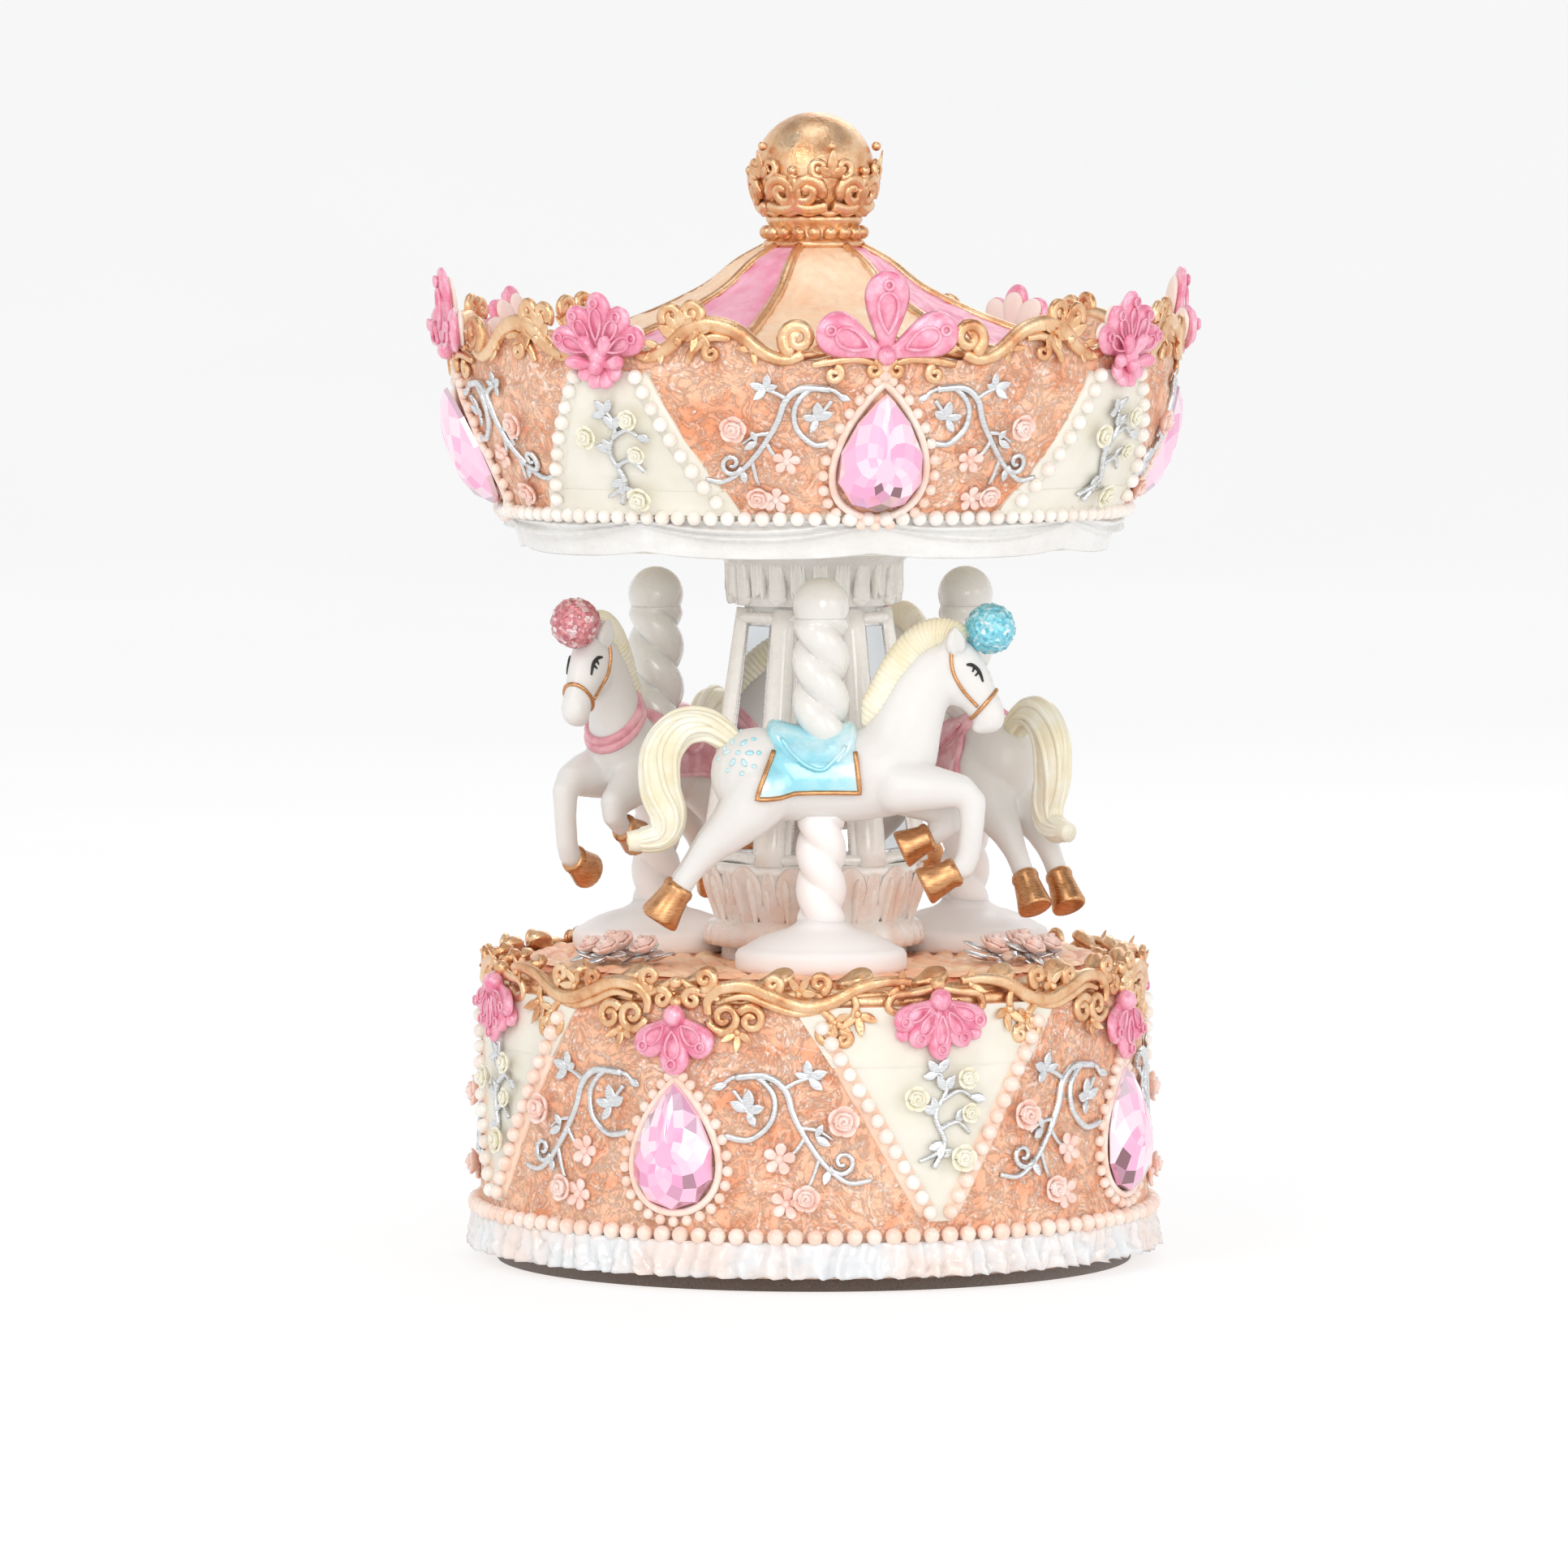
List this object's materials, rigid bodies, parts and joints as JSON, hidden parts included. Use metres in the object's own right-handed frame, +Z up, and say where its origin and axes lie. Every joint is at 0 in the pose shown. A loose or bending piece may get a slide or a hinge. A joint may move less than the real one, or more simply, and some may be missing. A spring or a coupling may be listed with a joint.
{
  "type": "carousel music box",
  "caption": "Wind-up music box with a jewelled round base and a turning deck that carries horses on poles, a mirrored column and a domed canopy.",
  "frame": {"origin": "centre of the resting face, on the turning axis", "axes": "+Z up along the turning axis, -Y towards the front, +X to the viewer's right"},
  "size_m": [0.1184, 0.1184, 0.175],
  "materials": {
    "felt": "matte brown felt",
    "plate_board": "matte moulded board",
    "steel": "bright drawn steel",
    "nickel_plate": "nickel-plated cast bedplate",
    "brass": "lacquered brass",
    "peach_resin": "cast resin, satin peach paint with pale veil",
    "antique_gold": "antique rose-gold paint on cast resin",
    "cream_resin": "cast resin, satin cream paint",
    "pink_gem": "foil-backed faceted acrylic",
    "pearl": "pearlescent bead",
    "white_pearl_resin": "cast resin, pearly white paint",
    "pink_pearl_paint": "cast resin, pearly pink paint",
    "silver_paint": "metallic silver paint on cast resin",
    "flower_paint": "cast resin, painted roses and leaves",
    "horse_white": "cast resin, satin white with painted harness",
    "wax_white": "translucent white resin",
    "mirror_glass": "silvered mirror strip"
  },
  "bodies": {
    "base": {"felt_pad": "felt", "bottom_plate": "plate_board", "plate_screws": "steel", "base_drum": "peach_resin", "base_gold_border": "antique_gold", "base_cream_panels": "cream_resin", "base_gems": "pink_gem", "base_gem_settings": "pearl", "base_pearl_band": "pearl", "base_pearl_strings": "pearl", "base_lace_ruffle": "white_pearl_resin", "base_pink_shells": "pink_pearl_paint", "base_silver_sprays": "silver_paint", "bedplate": "nickel_plate", "movement_screws": "steel", "cylinder_brackets": "nickel_plate", "comb": "steel", "comb_screws": "brass", "governor_frame": "nickel_plate", "turntable_bush": "brass"},
    "cylinder": {"music_cylinder": "brass", "cylinder_pinion": "brass", "cylinder_wheel": "brass", "cylinder_arbor": "steel"},
    "second_arbor": {"second_wheel": "brass"},
    "governor": {"governor_worm": "steel", "governor_fly": "steel"},
    "winder": {"winding_arbor": "steel", "winding_key": "brass"},
    "carousel": {"spring_barrel": "brass", "mainspring": "steel", "drive_shaft": "steel", "shaft_nut": "steel", "deck": "peach_resin", "deck_flowers": "flower_paint", "horse_1": "horse_white", "horse_2": "horse_white", "horse_3": "horse_white", "upper_pole_1": "white_pearl_resin", "upper_pole_2": "white_pearl_resin", "upper_pole_3": "white_pearl_resin", "pole_foot_1": "wax_white", "pole_foot_2": "wax_white", "pole_foot_3": "wax_white", "column_foot": "white_pearl_resin", "column_core": "white_pearl_resin", "column_mirrors": "mirror_glass", "column_capital": "white_pearl_resin", "canopy_drum": "peach_resin", "canopy_swag_skirt": "white_pearl_resin", "canopy_roof": "peach_resin", "roof_ribs": "antique_gold", "canopy_gold_border": "antique_gold", "canopy_cream_panels": "cream_resin", "canopy_gems": "pink_gem", "canopy_gem_settings": "pearl", "canopy_pearls": "pearl", "canopy_pink_shells": "pink_pearl_paint", "canopy_silver_sprays": "silver_paint", "finial": "antique_gold"}
  },
  "joints": [
    {"name": "carousel_spin", "type": "hinge", "parent": "base", "child": "carousel", "pos_m": [0, 0, 0.04], "axis": [0, 0, 1], "continuous": true},
    {"name": "cylinder_spin", "type": "hinge", "parent": "base", "child": "cylinder", "pos_m": [0.025, 0, 0.0245], "axis": [1, 0, 0], "continuous": true},
    {"name": "second_spin", "type": "hinge", "parent": "base", "child": "second_arbor", "pos_m": [0.0355, 0.009, 0.0245], "axis": [1, 0, 0], "continuous": true},
    {"name": "governor_spin", "type": "hinge", "parent": "base", "child": "governor", "pos_m": [0.0366, 0.0165, 0.025], "axis": [0, 0, 1], "continuous": true},
    {"name": "key_turn", "type": "hinge", "parent": "base", "child": "winder", "pos_m": [0, 0, 0.01], "axis": [0, 0, 1], "continuous": true}
  ],
  "couplings": [
    {"joint": "cylinder_spin", "follows": "carousel_spin", "ratio": 3},
    {"joint": "second_spin", "follows": "carousel_spin", "ratio": -9},
    {"joint": "governor_spin", "follows": "carousel_spin", "ratio": 216}
  ]
}
